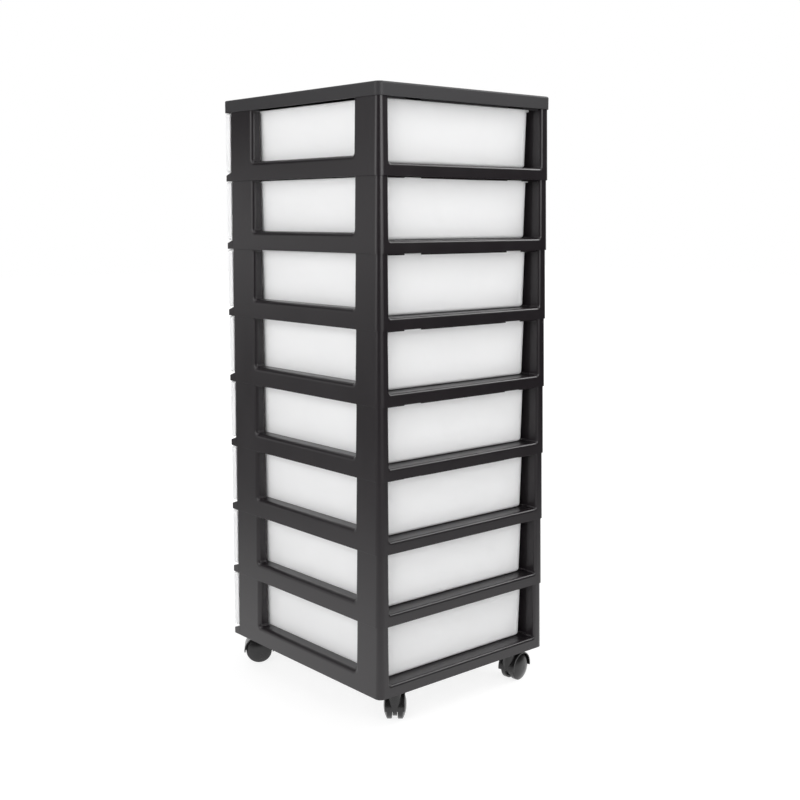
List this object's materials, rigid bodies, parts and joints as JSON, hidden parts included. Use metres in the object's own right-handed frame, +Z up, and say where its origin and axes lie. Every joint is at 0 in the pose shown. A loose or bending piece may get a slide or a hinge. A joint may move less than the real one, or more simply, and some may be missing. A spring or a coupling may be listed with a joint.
{
  "type": "plastic drawer tower",
  "caption": "Rolling storage tower of stacked open black frames, each with a frosted pull-out drawer, on twin-wheel casters under a flat cover.",
  "frame": {"origin": "on the floor, under the middle of the tower's bounding box", "axes": "+Z up, the drawers pull out along -Y, +X to the right of someone who faces the drawer fronts"},
  "size_m": [0.322, 0.3714, 0.868],
  "materials": {
    "frame_plastic": "black polypropylene with a fine satin grain",
    "drawer_plastic": "translucent frosted white polypropylene",
    "caster_plastic": "black nylon with a soft sheen",
    "steel": "zinc-plated steel"
  },
  "bodies": {
    "tower": {"top_cover": "frame_plastic", "frame_module_1": "frame_plastic", "frame_module_2": "frame_plastic", "frame_module_3": "frame_plastic", "frame_module_4": "frame_plastic", "frame_module_5": "frame_plastic", "frame_module_6": "frame_plastic", "frame_module_7": "frame_plastic", "frame_module_8": "frame_plastic", "caster_back_right_stem": "steel", "caster_back_left_stem": "steel", "caster_front_right_stem": "steel", "caster_front_left_stem": "steel"},
    "drawer_1_slider": {"drawer_1": "drawer_plastic"},
    "drawer_2_slider": {"drawer_2": "drawer_plastic"},
    "drawer_3_slider": {"drawer_3": "drawer_plastic"},
    "drawer_4_slider": {"drawer_4": "drawer_plastic"},
    "drawer_5_slider": {"drawer_5": "drawer_plastic"},
    "drawer_6_slider": {"drawer_6": "drawer_plastic"},
    "drawer_7_slider": {"drawer_7": "drawer_plastic"},
    "drawer_8_slider": {"drawer_8": "drawer_plastic"},
    "caster_back_right_swivel": {"caster_back_right_housing": "caster_plastic", "caster_back_right_axle": "steel"},
    "caster_back_right_wheel_1_roller": {"caster_back_right_wheel_1": "caster_plastic"},
    "caster_back_right_wheel_2_roller": {"caster_back_right_wheel_2": "caster_plastic"},
    "caster_back_left_swivel": {"caster_back_left_housing": "caster_plastic", "caster_back_left_axle": "steel"},
    "caster_back_left_wheel_1_roller": {"caster_back_left_wheel_1": "caster_plastic"},
    "caster_back_left_wheel_2_roller": {"caster_back_left_wheel_2": "caster_plastic"},
    "caster_front_right_swivel": {"caster_front_right_housing": "caster_plastic", "caster_front_right_axle": "steel"},
    "caster_front_right_wheel_1_roller": {"caster_front_right_wheel_1": "caster_plastic"},
    "caster_front_right_wheel_2_roller": {"caster_front_right_wheel_2": "caster_plastic"},
    "caster_front_left_swivel": {"caster_front_left_housing": "caster_plastic", "caster_front_left_axle": "steel"},
    "caster_front_left_wheel_1_roller": {"caster_front_left_wheel_1": "caster_plastic"},
    "caster_front_left_wheel_2_roller": {"caster_front_left_wheel_2": "caster_plastic"}
  },
  "joints": [
    {"name": "drawer_1_slide", "type": "slide", "parent": "tower", "child": "drawer_1_slider", "axis": [0, -1, 0], "range_m": [0, 0.27]},
    {"name": "drawer_2_slide", "type": "slide", "parent": "tower", "child": "drawer_2_slider", "axis": [0, -1, 0], "range_m": [0, 0.27]},
    {"name": "drawer_3_slide", "type": "slide", "parent": "tower", "child": "drawer_3_slider", "axis": [0, -1, 0], "range_m": [0, 0.27]},
    {"name": "drawer_4_slide", "type": "slide", "parent": "tower", "child": "drawer_4_slider", "axis": [0, -1, 0], "range_m": [0, 0.27]},
    {"name": "drawer_5_slide", "type": "slide", "parent": "tower", "child": "drawer_5_slider", "axis": [0, -1, 0], "range_m": [0, 0.27]},
    {"name": "drawer_6_slide", "type": "slide", "parent": "tower", "child": "drawer_6_slider", "axis": [0, -1, 0], "range_m": [0, 0.27]},
    {"name": "drawer_7_slide", "type": "slide", "parent": "tower", "child": "drawer_7_slider", "axis": [0, -1, 0], "range_m": [0, 0.27]},
    {"name": "drawer_8_slide", "type": "slide", "parent": "tower", "child": "drawer_8_slider", "axis": [0, -1, 0], "range_m": [0, 0.27]},
    {"name": "caster_back_right_swivel", "type": "hinge", "parent": "tower", "child": "caster_back_right_swivel", "pos_m": [0.114, 0.1617, 0.044], "axis": [0, 0, 1], "continuous": true},
    {"name": "caster_back_right_wheel_1_roll", "type": "hinge", "parent": "caster_back_right_swivel", "child": "caster_back_right_wheel_1_roller", "pos_m": [0.10463, 0.1513, 0.02], "axis": [0.7431, -0.6691, 0], "continuous": true},
    {"name": "caster_back_right_wheel_2_roll", "type": "hinge", "parent": "caster_back_right_swivel", "child": "caster_back_right_wheel_2_roller", "pos_m": [0.10463, 0.1513, 0.02], "axis": [0.7431, -0.6691, 0], "continuous": true},
    {"name": "caster_back_left_swivel", "type": "hinge", "parent": "tower", "child": "caster_back_left_swivel", "pos_m": [-0.114, 0.1617, 0.044], "axis": [0, 0, 1], "continuous": true},
    {"name": "caster_back_left_wheel_1_roll", "type": "hinge", "parent": "caster_back_left_swivel", "child": "caster_back_left_wheel_1_roller", "pos_m": [-0.12779, 0.15927, 0.02], "axis": [0.1736, -0.9848, 0], "continuous": true},
    {"name": "caster_back_left_wheel_2_roll", "type": "hinge", "parent": "caster_back_left_swivel", "child": "caster_back_left_wheel_2_roller", "pos_m": [-0.12779, 0.15927, 0.02], "axis": [0.1736, -0.9848, 0], "continuous": true},
    {"name": "caster_front_right_swivel", "type": "hinge", "parent": "tower", "child": "caster_front_right_swivel", "pos_m": [0.114, -0.148, 0.044], "axis": [0, 0, 1], "continuous": true},
    {"name": "caster_front_right_wheel_1_roll", "type": "hinge", "parent": "caster_front_right_swivel", "child": "caster_front_right_wheel_1_roller", "pos_m": [0.12547, -0.15603, 0.02], "axis": [0.5736, 0.8192, 0], "continuous": true},
    {"name": "caster_front_right_wheel_2_roll", "type": "hinge", "parent": "caster_front_right_swivel", "child": "caster_front_right_wheel_2_roller", "pos_m": [0.12547, -0.15603, 0.02], "axis": [0.5736, 0.8192, 0], "continuous": true},
    {"name": "caster_front_left_swivel", "type": "hinge", "parent": "tower", "child": "caster_front_left_swivel", "pos_m": [-0.114, -0.148, 0.044], "axis": [0, 0, 1], "continuous": true},
    {"name": "caster_front_left_wheel_1_roll", "type": "hinge", "parent": "caster_front_left_swivel", "child": "caster_front_left_wheel_1_roller", "pos_m": [-0.10328, -0.139, 0.02], "axis": [-0.6428, 0.766, 0], "continuous": true},
    {"name": "caster_front_left_wheel_2_roll", "type": "hinge", "parent": "caster_front_left_swivel", "child": "caster_front_left_wheel_2_roller", "pos_m": [-0.10328, -0.139, 0.02], "axis": [-0.6428, 0.766, 0], "continuous": true}
  ]
}
